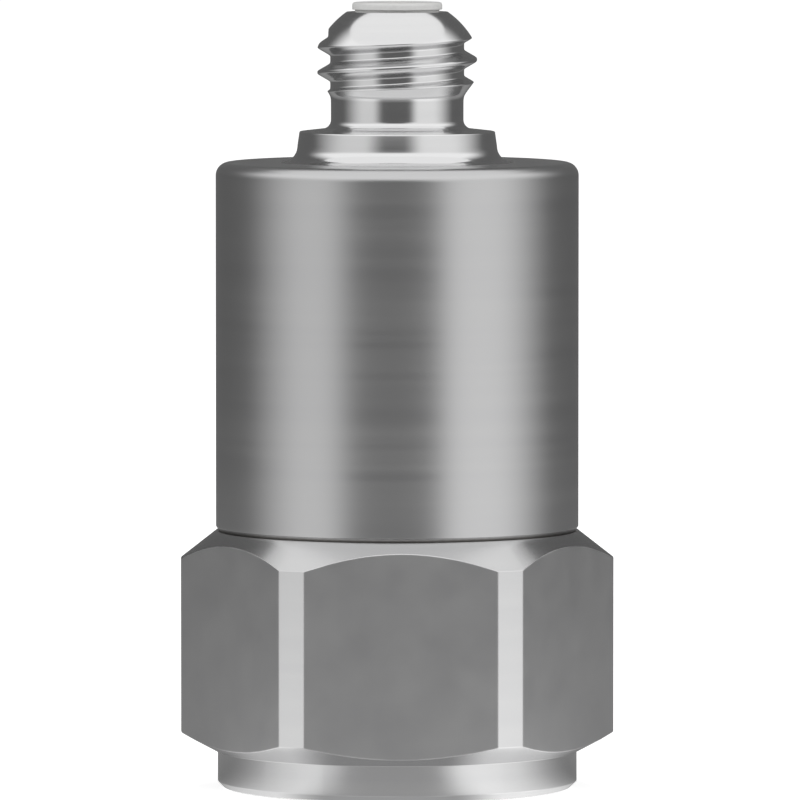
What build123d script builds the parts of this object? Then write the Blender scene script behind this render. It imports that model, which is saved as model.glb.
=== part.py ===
"""Vibration sensor: a piezoelectric accelerometer with a hexagonal base and a top connector.

All sizes are in millimetres. +Z runs up the axis, z = 0 is the mounting face and one flat
of the hexagon faces -Y.
"""

import os
from math import radians, sqrt, tan

from build123d import *

# Hexagonal base
across_flats = 12.0
corner_diameter = 13.37
boss_diameter = 11.1
boss_height = 1.14
boss_edge_chamfer = 0.2
hex_height = 6.81
hex_foot_diameter = 11.2
bottom_chamfer_angle = 28.0
top_chamfer_angle = 38.0

# Tapped mounting hole, M5 x 0.8, drawn at its minor diameter
mount_hole_diameter = 4.2
mount_hole_depth = 4.0
mount_hole_mouth_diameter = 5.2
drill_point_angle = 118.0

# Spigot that the can is pressed over and the three-sided post
spigot_height = 1.0
spigot_lead_chamfer = 0.25
post_inradius = 1.5
post_corner_diameter = 4.0
post_sides = 3
post_flat_angle = 60.0

# Can
housing_diameter = 11.2
housing_wall = 0.6
housing_height = 11.37
housing_top_thickness = 0.8
housing_edge_radius = 0.4
seam_groove_height = 0.14
seam_groove_depth = 0.1

# Shear stack round the post
crystal_width = 2.5
crystal_length = 3.4
crystal_thickness = 0.6
crystal_edge_chamfer = 0.06
stack_lift = 0.7
mass_width = 5.2
mass_edge_chamfer = 0.12
ring_wall = 0.45
ring_height = 2.8
ring_clearance = 0.65

# Charge amplifier on top of the post
carrier_floor = 0.5
carrier_clearance = 0.9
screw_diameter = 1.6
screw_length = 2.6
screw_head_diameter = 3.0
screw_head_height = 0.8
screw_head_chamfer = 0.15
screw_slot_width = 0.4
screw_slot_depth = 0.35
screw_clearance = 0.3
screw_tap_margin = 0.4
board_thickness = 0.6
board_key_width = 1.2
board_key_depth = 0.5
board_headroom = 1.72
chip_length = 3.0
chip_width = 2.0
chip_height = 0.75
chip_offset = 2.3
chip_edge_chamfer = 0.12
chip_lead_width = 0.3
chip_lead_thickness = 0.14
chip_lead_reach = 0.35
chip_lead_pitch = 0.8
resistor_length = 1.0
resistor_width = 0.5
resistor_height = 0.35
resistor_spacing = 0.9
resistor_offset_x = -2.4
resistor_offset_y = 1.1
capacitor_length = 1.6
capacitor_width = 0.8
capacitor_height = 0.7
capacitor_offset_x = -2.2
capacitor_offset_y = -1.3
chip_part_edge_chamfer = 0.05

# Threaded connector shell
collar_top_diameter = 6.03
collar_foot_diameter = 6.16
collar_height = 0.95
collar_crown = 0.11
collar_fillet = 0.5
neck_diameter = 4.09
neck_height = 1.09
neck_fillet = 0.34
thread_diameter = 4.93
thread_length = 1.51
thread_pitch = 0.8
thread_depth = 0.4
thread_flank_angle = 30.0
thread_crest_share = 0.125
thread_start_chamfer = 0.55
thread_first_crest = 0.33
thread_overcut = 0.05
thread_turns = 2.75
nose_height = 1.09
nose_land = 0.14
nose_crown_radius = 2.7
insulator_bore_diameter = 2.84
insulator_bore_depth = 2.77
shell_bore_diameter = 2.2
shell_spigot_diameter = 4.0
shell_spigot_length = 1.1

# Insulator, centre contact and glass seal
insulator_proud = 0.3
insulator_edge_chamfer = 0.15
contact_diameter = 1.0
contact_bore_diameter = 0.55
contact_bore_depth = 2.0
contact_recess = 0.2
contact_slot_width = 0.16
contact_slot_depth = 1.4
contact_mouth_chamfer = 0.1
contact_tail_diameter = 0.6
contact_tail_gap = 0.99
glass_recess = 0.47
glass_thickness = 1.3

# Leads
lead_width = 0.3
lead_thickness = 0.1
lead_bend_radius = 0.25
lead_clearance = 0.3
lead_pad_inset = 0.6
lead_loop_height = 0.4
signal_lead_angle = 60.0
ground_lead_angle = 180.0
output_lead_offset = 1.0

# Levels and diameters that follow from the sizes above
hex_top = boss_height + hex_height
spigot_top = hex_top + spigot_height
housing_top = hex_top + housing_height
housing_inner_top = housing_top - housing_top_thickness
housing_inner_diameter = housing_diameter - 2 * housing_wall
board_top = housing_inner_top - board_headroom
carrier_top = board_top - board_thickness
carrier_height = carrier_floor + screw_head_height + screw_clearance
post_top = carrier_top - carrier_height
post_height = post_top - spigot_top
stack_bottom = spigot_top + stack_lift
stack_middle = stack_bottom + crystal_length / 2
ring_outer_diameter = housing_inner_diameter - 2 * ring_clearance
mass_outer_diameter = ring_outer_diameter - 2 * ring_wall
carrier_diameter = housing_inner_diameter - 2 * carrier_clearance
collar_top = housing_top + collar_height
thread_start = collar_top + neck_height
nose_start = thread_start + thread_length
nose_end = nose_start + nose_height
insulator_seat = nose_end - insulator_bore_depth
insulator_top = nose_end + insulator_proud
contact_top = insulator_top - contact_recess
contact_tail_end = board_top + contact_tail_gap

os.makedirs("parts", exist_ok=True)


# Base: hexagon, locating boss, can spigot and three-sided post in one milled and turned piece.
bottom_run = (corner_diameter - hex_foot_diameter) / 2
top_run = (corner_diameter - housing_diameter) / 2
bottom_rise = bottom_run * tan(radians(bottom_chamfer_angle))
top_rise = top_run * tan(radians(top_chamfer_angle))
hole_point = mount_hole_diameter / 2 / tan(radians(drill_point_angle / 2))
mouth_depth = (mount_hole_mouth_diameter - mount_hole_diameter) / 2
with BuildPart() as base:
    with BuildSketch(Plane.XY.offset(boss_height)):
        RegularPolygon(radius=across_flats / 2, side_count=6, major_radius=False)
    extrude(amount=hex_height)
    with BuildSketch(Plane.XZ):
        with BuildLine():
            Polyline(
                (0, boss_height),
                (hex_foot_diameter / 2, boss_height),
                (corner_diameter / 2, boss_height + bottom_rise),
                (corner_diameter / 2, hex_top - top_rise),
                (housing_diameter / 2, hex_top),
                (0, hex_top),
                close=True,
            )
        make_face()
    revolve(axis=Axis.Z, mode=Mode.INTERSECT)
    with BuildSketch(Plane.XZ):
        with BuildLine():
            Polyline(
                (0, 0),
                (boss_diameter / 2 - boss_edge_chamfer, 0),
                (boss_diameter / 2, boss_edge_chamfer),
                (boss_diameter / 2, boss_height),
                (0, boss_height),
                close=True,
            )
        make_face()
    revolve(axis=Axis.Z)
    with BuildSketch(Plane.XY.offset(hex_top)):
        Circle(housing_inner_diameter / 2)
    extrude(amount=spigot_height)
    chamfer(base.edges().group_by(Axis.Z)[-1], length=spigot_lead_chamfer)
    with BuildSketch(Plane.XY.offset(spigot_top)):
        Circle(post_corner_diameter / 2)
        RegularPolygon(
            radius=post_inradius,
            side_count=post_sides,
            major_radius=False,
            rotation=post_flat_angle - 180 / post_sides,
            mode=Mode.INTERSECT,
        )
    extrude(amount=post_height)
    with BuildSketch(Plane.XY.offset(post_top)):
        Circle(screw_diameter / 2)
    extrude(amount=-(screw_length - carrier_floor + screw_tap_margin), mode=Mode.SUBTRACT)
    with BuildSketch(Plane.XZ):
        with BuildLine():
            Polyline(
                (0, 0),
                (mount_hole_mouth_diameter / 2, 0),
                (mount_hole_diameter / 2, mouth_depth),
                (mount_hole_diameter / 2, mount_hole_depth),
                (0, mount_hole_depth + hole_point),
                close=True,
            )
        make_face()
    revolve(axis=Axis.Z, mode=Mode.SUBTRACT)
base.part.label = "base"
export_step(base.part, "parts/base.step")


# Housing: deep-drawn can welded to the base in the groove at its foot.
with BuildPart() as housing:
    with BuildSketch(Plane.XZ):
        with BuildLine():
            Polyline(
                (housing_inner_diameter / 2, hex_top),
                (housing_diameter / 2 - seam_groove_depth, hex_top),
                (housing_diameter / 2, hex_top + seam_groove_height),
                (housing_diameter / 2, housing_top),
                (shell_spigot_diameter / 2, housing_top),
                (shell_spigot_diameter / 2, housing_inner_top),
                (housing_inner_diameter / 2, housing_inner_top),
                close=True,
            )
        make_face()
    revolve(axis=Axis.Z)
    top_rim = housing.edges().filter_by(GeomType.CIRCLE).group_by(Axis.Z)[-1].sort_by(SortBy.RADIUS)[-1]
    fillet(top_rim, radius=housing_edge_radius)
housing.part.label = "housing"
export_step(housing.part, "parts/housing.step")


# Shear crystals: poled piezoceramic plates standing on the three flats of the post.
crystal_middle = post_inradius + crystal_thickness / 2
flat_angles = [post_flat_angle + side * 360 / post_sides for side in range(post_sides)]
for letter, angle in zip("abc", flat_angles):
    with BuildPart() as crystal:
        with Locations(Location((0, 0, stack_middle), (0, 0, angle))):
            with Locations((crystal_middle, 0, 0)):
                Box(crystal_thickness, crystal_width, crystal_length)
        chamfer(crystal.edges().filter_by(Axis.Z), length=crystal_edge_chamfer)
    crystal.part.label = "piezo_crystal_" + letter
    export_step(crystal.part, "parts/piezo_crystal_" + letter + ".step")


# Seismic masses: heavy segments, flat towards the crystal and round towards the ring.
mass_inner = post_inradius + crystal_thickness
mass_depth = mass_outer_diameter / 2 - mass_inner
for letter, angle in zip("abc", flat_angles):
    with BuildPart() as seismic_mass:
        with BuildSketch(Plane(origin=(0, 0, stack_bottom), x_dir=Vector(1, 0, 0).rotate(Axis.Z, angle))):
            with Locations((mass_inner + mass_depth / 2, 0)):
                Rectangle(mass_depth, mass_width)
            Circle(mass_outer_diameter / 2, mode=Mode.INTERSECT)
        extrude(amount=crystal_length)
        upright_edges = seismic_mass.edges().filter_by(Axis.Z)
        chamfer(upright_edges, length=mass_edge_chamfer)
    seismic_mass.part.label = "seismic_mass_" + letter
    export_step(seismic_mass.part, "parts/seismic_mass_" + letter + ".step")


# Preload ring: shrunk over the masses, it clamps the whole stack to the post.
with BuildPart() as preload_ring:
    with BuildSketch(Plane.XY.offset(stack_middle - ring_height / 2)):
        Circle(ring_outer_diameter / 2)
        Circle(mass_outer_diameter / 2, mode=Mode.SUBTRACT)
    extrude(amount=ring_height)
preload_ring.part.label = "preload_ring"
export_step(preload_ring.part, "parts/preload_ring.step")


# Board carrier: insulating cup seated on the end of the post.
with BuildPart() as board_carrier:
    with BuildSketch(Plane.XY.offset(post_top)):
        Circle(carrier_diameter / 2)
    extrude(amount=carrier_height)
    with BuildSketch(Plane.XY.offset(post_top + carrier_floor)):
        Circle(screw_head_diameter / 2 + screw_clearance)
    extrude(amount=carrier_height - carrier_floor, mode=Mode.SUBTRACT)
    with BuildSketch(Plane.XY.offset(post_top)):
        Circle(screw_diameter / 2 + screw_clearance)
    extrude(amount=carrier_floor, mode=Mode.SUBTRACT)
board_carrier.part.label = "board_carrier"
export_step(board_carrier.part, "parts/board_carrier.step")


# Carrier screw: slotted cheese-head screw holding the carrier on the post.
screw_seat = post_top + carrier_floor
with BuildPart() as carrier_screw:
    with BuildSketch(Plane.XY.offset(screw_seat)):
        Circle(screw_head_diameter / 2)
    extrude(amount=screw_head_height)
    chamfer(carrier_screw.edges().group_by(Axis.Z)[-1], length=screw_head_chamfer)
    with BuildSketch(Plane.XY.offset(screw_seat)):
        Circle(screw_diameter / 2)
    extrude(amount=-screw_length)
    with BuildSketch(Plane.XY.offset(screw_seat + screw_head_height)):
        Rectangle(screw_head_diameter, screw_slot_width)
    extrude(amount=-screw_slot_depth, mode=Mode.SUBTRACT)
carrier_screw.part.label = "carrier_screw"
export_step(carrier_screw.part, "parts/carrier_screw.step")


# Circuit board: round laminate with a key notch, cemented on the carrier.
with BuildPart() as circuit_board:
    with BuildSketch(Plane.XY.offset(carrier_top)):
        Circle(carrier_diameter / 2)
        with Locations((0, -carrier_diameter / 2)):
            Rectangle(board_key_width, 2 * board_key_depth, mode=Mode.SUBTRACT)
    extrude(amount=board_thickness)
circuit_board.part.label = "circuit_board"
export_step(circuit_board.part, "parts/circuit_board.step")


# Amplifier chip: moulded body with three gull-wing leads on each long side.
with BuildPart() as amplifier_chip:
    with Locations((chip_offset, 0, board_top + chip_lead_thickness + chip_height / 2)):
        Box(chip_width, chip_length, chip_height)
    chamfer(amplifier_chip.edges().group_by(Axis.Z)[-1], length=chip_edge_chamfer)
    lead_centre = chip_width / 2 + chip_lead_reach / 2
    with Locations((chip_offset, 0, board_top + chip_lead_thickness / 2)):
        with GridLocations(2 * lead_centre, chip_lead_pitch, 2, 3):
            Box(2 * chip_lead_reach, chip_lead_width, chip_lead_thickness)
amplifier_chip.part.label = "amplifier_chip"
export_step(amplifier_chip.part, "parts/amplifier_chip.step")


# Chip resistors: two alike, soldered side by side.
with BuildPart() as chip_resistors:
    with Locations((resistor_offset_x, resistor_offset_y, board_top + resistor_height / 2)):
        with GridLocations(0, resistor_spacing, 1, 2):
            Box(resistor_length, resistor_width, resistor_height)
    chamfer(chip_resistors.edges().filter_by(Axis.Y), length=chip_part_edge_chamfer)
chip_resistors.part.label = "chip_resistors"
export_step(chip_resistors.part, "parts/chip_resistors.step")


# Chip capacitor.
with BuildPart() as chip_capacitor:
    with Locations((capacitor_offset_x, capacitor_offset_y, board_top + capacitor_height / 2)):
        Box(capacitor_length, capacitor_width, capacitor_height)
    chamfer(chip_capacitor.edges().filter_by(Axis.Y), length=chip_part_edge_chamfer)
chip_capacitor.part.label = "chip_capacitor"
export_step(chip_capacitor.part, "parts/chip_capacitor.step")


# Connector shell: turned in one piece with collar, neck, cut thread and crowned nose. The
# fillet at the collar's foot is two cones that meet on its arc, at the knee. The thread's
# groove starts in the lead-in cone and runs out on the crown of the nose.
foot_knee = collar_fillet * (1 - sqrt(0.5))
thread_root_radius = thread_diameter / 2 - thread_depth
flank_slope = tan(radians(thread_flank_angle))
groove_mouth_half = thread_pitch * (1 - thread_crest_share) / 2
groove_root_half = groove_mouth_half - thread_depth * flank_slope
groove_cut_half = groove_mouth_half + thread_overcut * flank_slope
groove_start = thread_start + thread_first_crest - thread_pitch / 2
with BuildPart() as connector_shell:
    with BuildSketch(Plane.XZ) as shell_outline:
        with BuildLine():
            turned_side = Polyline(
                (shell_bore_diameter / 2, housing_top - shell_spigot_length),
                (shell_spigot_diameter / 2, housing_top - shell_spigot_length),
                (shell_spigot_diameter / 2, housing_top),
                (collar_foot_diameter / 2 + collar_fillet, housing_top),
                (collar_foot_diameter / 2 + foot_knee, housing_top + foot_knee),
                (collar_foot_diameter / 2, housing_top + collar_fillet),
                (collar_top_diameter / 2, collar_top),
                (neck_diameter / 2 + neck_fillet, collar_top + collar_crown),
            )
            neck_arc = Bezier(
                turned_side @ 1,
                (neck_diameter / 2, collar_top + collar_crown),
                (neck_diameter / 2, collar_top + collar_crown + neck_fillet),
            )
            neck_side = Polyline(
                neck_arc @ 1,
                (neck_diameter / 2, thread_start),
                (thread_diameter / 2, thread_start + thread_start_chamfer),
                (thread_diameter / 2, nose_start),
            )
            nose_arc = RadiusArc(
                neck_side @ 1,
                (insulator_bore_diameter / 2 + nose_land, nose_end),
                -nose_crown_radius,
            )
            Polyline(
                nose_arc @ 1,
                (insulator_bore_diameter / 2, nose_end),
                (insulator_bore_diameter / 2, insulator_seat),
                (shell_bore_diameter / 2, insulator_seat),
                turned_side @ 0,
            )
        make_face()
    revolve(axis=Axis.Z)
    with BuildLine() as thread_path:
        Helix(
            pitch=thread_pitch,
            height=thread_turns * thread_pitch,
            radius=thread_root_radius,
            center=(0, 0, groove_start),
        )
    with BuildSketch(Plane.XZ):
        with BuildLine():
            Polyline(
                (thread_root_radius, groove_start - groove_root_half),
                (thread_root_radius, groove_start + groove_root_half),
                (thread_diameter / 2 + thread_overcut, groove_start + groove_cut_half),
                (thread_diameter / 2 + thread_overcut, groove_start - groove_cut_half),
                close=True,
            )
        make_face()
    sweep(path=thread_path.line, is_frenet=True, mode=Mode.SUBTRACT)
connector_shell.part.label = "connector_shell"
export_step(connector_shell.part, "parts/connector_shell.step")


# Connector insulator: sleeve in the bore of the shell, its chamfered end a little proud.
with BuildPart() as insulator:
    with BuildSketch(Plane.XY.offset(insulator_seat)):
        Circle(insulator_bore_diameter / 2)
        Circle(contact_diameter / 2, mode=Mode.SUBTRACT)
    extrude(amount=insulator_top - insulator_seat)
    end_rim = insulator.edges().group_by(Axis.Z)[-1].sort_by(SortBy.RADIUS)[-1]
    chamfer(end_rim, length=insulator_edge_chamfer)
insulator.part.label = "connector_insulator"
export_step(insulator.part, "parts/connector_insulator.step")


# Centre contact: plated socket, split in four, on a solid tail.
with BuildPart() as centre_contact:
    with BuildSketch(Plane.XY.offset(insulator_seat)):
        Circle(contact_diameter / 2)
    extrude(amount=contact_top - insulator_seat)
    with BuildSketch(Plane.XY.offset(contact_tail_end)):
        Circle(contact_tail_diameter / 2)
    extrude(amount=insulator_seat - contact_tail_end)
    with BuildSketch(Plane.XY.offset(contact_top)):
        Circle(contact_bore_diameter / 2)
    extrude(amount=-contact_bore_depth, mode=Mode.SUBTRACT)
    mouth_rim = centre_contact.edges().group_by(Axis.Z)[-1].sort_by(SortBy.RADIUS)[0]
    chamfer(mouth_rim, length=contact_mouth_chamfer)
    with BuildSketch(Plane.XY.offset(contact_top)):
        Rectangle(2 * contact_diameter, contact_slot_width)
        Rectangle(contact_slot_width, 2 * contact_diameter)
    extrude(amount=-contact_slot_depth, mode=Mode.SUBTRACT)
centre_contact.part.label = "centre_contact"
export_step(centre_contact.part, "parts/centre_contact.step")


# Glass seal: fused between the contact's tail and the shell.
with BuildPart() as glass_seal:
    with BuildSketch(Plane.XY.offset(housing_top - shell_spigot_length + glass_recess)):
        Circle(shell_bore_diameter / 2)
        Circle(contact_tail_diameter / 2, mode=Mode.SUBTRACT)
    extrude(amount=glass_thickness)
glass_seal.part.label = "glass_seal"
export_step(glass_seal.part, "parts/glass_seal.step")


# Leads: flat ribbons, welded at their ends and bent over the edge of the board.
ring_top = stack_middle + ring_height / 2
lead_top = board_top + lead_loop_height
lead_rise_radius = (housing_inner_diameter - lead_thickness) / 2 - lead_clearance
lead_pad_radius = carrier_diameter / 2 - lead_pad_inset
ring_lead_radius = (ring_outer_diameter - ring_wall) / 2
with BuildPart() as signal_lead:
    signal_radial = Vector(1, 0, 0).rotate(Axis.Z, signal_lead_angle)
    signal_plane = Plane(origin=(0, 0, 0), x_dir=signal_radial, z_dir=signal_radial.cross(Vector(0, 0, 1)))
    with BuildLine(signal_plane) as signal_path:
        FilletPolyline(
            (ring_lead_radius, ring_top),
            (ring_lead_radius, ring_top + 2 * lead_bend_radius),
            (lead_rise_radius, post_top),
            (lead_rise_radius, lead_top),
            (lead_pad_radius, lead_top),
            (lead_pad_radius, board_top),
            radius=lead_bend_radius,
        )
    with BuildSketch(Plane(origin=signal_path.line @ 0, x_dir=signal_radial, z_dir=(0, 0, 1))):
        Rectangle(lead_thickness, lead_width)
    sweep(path=signal_path.line)
signal_lead.part.label = "signal_lead"
export_step(signal_lead.part, "parts/signal_lead.step")

with BuildPart() as ground_lead:
    ground_radial = Vector(1, 0, 0).rotate(Axis.Z, ground_lead_angle)
    ground_plane = Plane(origin=(0, 0, 0), x_dir=ground_radial, z_dir=ground_radial.cross(Vector(0, 0, 1)))
    with BuildLine(ground_plane) as ground_path:
        FilletPolyline(
            (lead_rise_radius, spigot_top),
            (lead_rise_radius, lead_top),
            (lead_pad_radius, lead_top),
            (lead_pad_radius, board_top),
            radius=lead_bend_radius,
        )
    with BuildSketch(Plane(origin=ground_path.line @ 0, x_dir=ground_radial, z_dir=(0, 0, 1))):
        Rectangle(lead_thickness, lead_width)
    sweep(path=ground_path.line)
ground_lead.part.label = "ground_lead"
export_step(ground_lead.part, "parts/ground_lead.step")

output_turn_height = board_top + contact_tail_gap / 2
with BuildPart() as output_lead:
    with BuildLine(Plane.XZ) as output_path:
        FilletPolyline(
            (-output_lead_offset, board_top),
            (-output_lead_offset, output_turn_height),
            (0, output_turn_height),
            (0, contact_tail_end),
            radius=lead_bend_radius,
        )
    with BuildSketch(Plane(origin=output_path.line @ 0, x_dir=(1, 0, 0), z_dir=(0, 0, 1))):
        Rectangle(lead_thickness, lead_width)
    sweep(path=output_path.line)
output_lead.part.label = "output_lead"
export_step(output_lead.part, "parts/output_lead.step")
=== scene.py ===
from math import acos, cos, pi, radians, sin, sqrt, tan

import bmesh
import bpy
import numpy as np
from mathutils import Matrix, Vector


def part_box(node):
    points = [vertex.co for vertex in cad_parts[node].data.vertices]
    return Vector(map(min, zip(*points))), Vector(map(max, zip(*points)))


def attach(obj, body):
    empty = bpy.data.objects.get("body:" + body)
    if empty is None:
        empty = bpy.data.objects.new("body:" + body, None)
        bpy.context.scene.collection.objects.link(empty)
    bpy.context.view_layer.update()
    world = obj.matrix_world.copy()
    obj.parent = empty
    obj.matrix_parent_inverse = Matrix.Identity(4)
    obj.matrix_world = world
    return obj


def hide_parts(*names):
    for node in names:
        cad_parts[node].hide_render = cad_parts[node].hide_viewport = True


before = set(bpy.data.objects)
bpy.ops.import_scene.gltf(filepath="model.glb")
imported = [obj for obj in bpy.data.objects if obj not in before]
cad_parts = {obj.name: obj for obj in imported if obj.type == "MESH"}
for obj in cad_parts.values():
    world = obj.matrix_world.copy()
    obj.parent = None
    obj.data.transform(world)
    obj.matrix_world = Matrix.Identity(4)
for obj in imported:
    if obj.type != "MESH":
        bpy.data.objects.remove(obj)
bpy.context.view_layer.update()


# Camera: a long lens a little above the middle of the sensor and square to its front flat, as a small
# part is taken for a catalogue. The axis stands a little left of the middle.
camera_distance = 0.350
camera_elevation = radians(3.5)
camera_azimuth = radians(-1.16)
aim_height = 0.01197
aim_right = 0.000086
camera_lens = 510
toward_camera = Vector((
    sin(camera_azimuth) * cos(camera_elevation),
    -cos(camera_azimuth) * cos(camera_elevation),
    sin(camera_elevation),
))
camera_right = Vector((cos(camera_azimuth), sin(camera_azimuth), 0))
camera_data = bpy.data.cameras.new("catalogue_lens")
camera_data.lens = camera_lens
camera_data.clip_start = 0.01
camera_data.clip_end = 10
camera = bpy.data.objects.new("catalogue_camera", camera_data)
camera.location = camera_right * aim_right + Vector((0, 0, aim_height)) + toward_camera * camera_distance
camera.rotation_euler = toward_camera.to_track_quat("Z", "Y").to_euler()
bpy.context.scene.collection.objects.link(camera)
bpy.context.scene.camera = camera
bpy.context.scene.view_settings.view_transform = "Standard"


# Studio surroundings: even white light from all round, half as strong for what the matt surfaces gather
# as for what the lens and the polished metal see.
def add_node(tree, kind, inputs=None, **settings):
    """Adds a shader node, sets its settings, and gives each named or numbered input a value or a link."""
    node = tree.nodes.new(kind)
    for name, value in settings.items():
        setattr(node, name, value)
    for name, value in (inputs or {}).items():
        if isinstance(value, bpy.types.NodeSocket):
            tree.links.new(value, node.inputs[name])
        else:
            node.inputs[name].default_value = value
    return node


def add_math(tree, operation, first, second=0.0):
    """Adds a math node for one or two numbers or sockets and returns its result."""
    return add_node(tree, "ShaderNodeMath", {0: first, 1: second}, operation=operation).outputs[0]


def seen_directly(tree):
    """One where a surface is seen by the lens, in a reflection or through glass, and nought elsewhere."""
    path = add_node(tree, "ShaderNodeLightPath").outputs
    mirrored = add_math(tree, "MAXIMUM", path["Is Camera Ray"], path["Is Glossy Ray"])
    return add_math(tree, "MAXIMUM", mirrored, path["Is Transmission Ray"])


surround_fill = 0.5
world = bpy.data.worlds.new("studio")
world.use_nodes = True
world_tree = world.node_tree
world_tree.nodes.clear()
fill_light = add_node(world_tree, "ShaderNodeBackground", {"Color": (1, 1, 1, 1), "Strength": surround_fill})
white_cloth = add_node(world_tree, "ShaderNodeBackground", {"Color": (1, 1, 1, 1), "Strength": 1.0})
surround = add_node(world_tree, "ShaderNodeMixShader", {
    0: seen_directly(world_tree),
    1: fill_light.outputs[0],
    2: white_cloth.outputs[0],
})
add_node(world_tree, "ShaderNodeOutputWorld", {"Surface": surround.outputs[0]})
bpy.context.scene.world = world


# Studio floor: a pale matt sheet that the sensor stands on. It glows just enough to read as white
# and still takes the sensor's soft shadow.
floor_half_width = 1.5
floor_gap = 0.00002
floor_color = (0.82, 0.82, 0.82, 1)
floor_glow = 0.62
floor_mesh = bpy.data.meshes.new("floor")
floor_corners = [
    (-floor_half_width, -floor_half_width, -floor_gap),
    (floor_half_width, -floor_half_width, -floor_gap),
    (floor_half_width, floor_half_width, -floor_gap),
    (-floor_half_width, floor_half_width, -floor_gap),
]
floor_mesh.from_pydata(floor_corners, [], [(0, 1, 2, 3)])
floor = bpy.data.objects.new("floor", floor_mesh)
bpy.context.scene.collection.objects.link(floor)
floor_paper = bpy.data.materials.new("floor_paper")
floor_paper.use_nodes = True
floor_tree = floor_paper.node_tree
floor_tree.nodes.clear()
paper = add_node(floor_tree, "ShaderNodeBsdfPrincipled", {
    "Base Color": floor_color,
    "Roughness": 1.0,
    "Specular IOR Level": 0.0,
    "Emission Color": (1, 1, 1, 1),
    "Emission Strength": add_math(floor_tree, "MULTIPLY", seen_directly(floor_tree), floor_glow),
})
add_node(floor_tree, "ShaderNodeOutputMaterial", {"Surface": paper.outputs[0]})
floor_mesh.materials.append(floor_paper)


# Reflection tent: two soft boxes, wider higher up, stand left and right of the lens, with dimly glowing grey
# cards between them and a tall one behind the sensor. A pale sheet glows round the sensor's foot, brighter
# close to it, with painted shade at its sides and behind. Only the metal sees them.
tent_inner_radius = 0.0052
tent_radius = 0.25
tent_front_height = 0.27
tent_back_rise = 0.27
tent_back_sharpness = 8
tent_floor_gap = 0.00003
tent_columns = 96
card_tone = 0.125
left_box_tone = 0.74
left_box_near = (radians(24), radians(46))
left_box_far = (radians(60), radians(112))
right_box_tone = 0.885
right_box_near = (radians(17), radians(37))
right_box_far = (radians(62), radians(114))
spread_share = 0.77
spread_rise = (0.035, 0.055)
upper_tone = 1.08
upper_far = (radians(92), radians(134))
upper_starts = 0.065
upper_full = 0.15
sheet_lift = 0.34
sheet_near = 0.006
sheet_far = 0.13
sheet_turn = (radians(50), radians(100))
sheet_behind = 0.8
foot_shade = 0.55
foot_shade_turn = (radians(45), radians(85))
foot_shade_reach = (0.007, 0.03)
tent_angle = np.linspace(0, 2 * pi, tent_columns, endpoint=False)
tent_top = tent_front_height + tent_back_rise * np.maximum(np.sin(tent_angle), 0) ** tent_back_sharpness
tent_floor = np.full(tent_columns, tent_floor_gap)
tent_rings = ((tent_inner_radius, tent_floor), (tent_radius, tent_floor), (tent_radius, tent_top))
tent_points = np.concatenate([
    np.stack([radius * np.cos(tent_angle), radius * np.sin(tent_angle), height], axis=1)
    for radius, height in tent_rings
])
tent_start = np.arange(2 * tent_columns)
tent_next = tent_start - tent_start % tent_columns + (tent_start + 1) % tent_columns
tent_faces = np.stack([tent_start, tent_next, tent_next + tent_columns, tent_start + tent_columns], axis=1)
tent_mesh = bpy.data.meshes.new("reflection_tent")
tent_mesh.from_pydata(tent_points.tolist(), [], tent_faces.tolist())
tent = bpy.data.objects.new("reflection_tent", tent_mesh)
bpy.context.scene.collection.objects.link(tent)


def ramp(tree, value, start, end, low=0.0, high=1.0, curve="LINEAR"):
    """Carries a value from one range to another and holds it at both ends, straight or with soft ends."""
    return add_node(tree, "ShaderNodeMapRange", {
        "Value": value,
        "From Min": start,
        "From Max": end,
        "To Min": low,
        "To Max": high,
    }, interpolation_type=curve).outputs[0]


def soft_window(tree, value, rise, fall):
    """Nought, then one between two edges, then nought again, each edge given as its start and its end."""
    opened = ramp(tree, value, *rise, curve="SMOOTHSTEP")
    closed = ramp(tree, value, *fall, 1.0, 0.0, curve="SMOOTHSTEP")
    return add_math(tree, "MULTIPLY", opened, closed)


def spreading_box(tree, turn, spread, near, far):
    """The window of a soft box over the turn, wider where the spread is less than one: the turn is drawn
    in by the spread towards the middle of the box."""
    middle = (sum(near) + sum(far)) / 4
    away = add_math(tree, "SUBTRACT", turn, middle)
    drawn_in = add_math(tree, "ADD", add_math(tree, "MULTIPLY", away, spread), middle)
    return soft_window(tree, drawn_in, near, far)


tent_cards = bpy.data.materials.new("tent_cards")
tent_cards.use_nodes = True
tent_tree = tent_cards.node_tree
tent_tree.nodes.clear()
tent_place = add_node(tent_tree, "ShaderNodeTexCoord").outputs["Object"]
tent_axes = add_node(tent_tree, "ShaderNodeSeparateXYZ", {0: tent_place}).outputs
tent_forward = add_math(tent_tree, "MULTIPLY", tent_axes["Y"], -1.0)
tent_turn = add_math(tent_tree, "ARCTAN2", tent_axes["X"], tent_forward)
tent_turn_left = add_math(tent_tree, "MULTIPLY", tent_turn, -1.0)
box_spread = ramp(tent_tree, tent_axes["Z"], *spread_rise, 1.0, spread_share)
right_box = spreading_box(tent_tree, tent_turn, box_spread, right_box_near, right_box_far)
left_box = spreading_box(tent_tree, tent_turn_left, box_spread, left_box_near, left_box_far)
right_light = add_math(tent_tree, "MULTIPLY", right_box, right_box_tone - card_tone)
left_light = add_math(tent_tree, "MULTIPLY", left_box, left_box_tone - card_tone)
side_light = add_math(tent_tree, "ADD", add_math(tent_tree, "ADD", right_light, left_light), card_tone)
tent_turn_away = add_math(tent_tree, "ABSOLUTE", tent_turn)
upper_light = ramp(tent_tree, tent_turn_away, *upper_far, upper_tone, card_tone, curve="SMOOTHSTEP")
tent_light = add_node(tent_tree, "ShaderNodeMix", {
    0: ramp(tent_tree, tent_axes["Z"], upper_starts, upper_full, curve="SMOOTHSTEP"),
    2: side_light,
    3: upper_light,
}).outputs[0]
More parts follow.
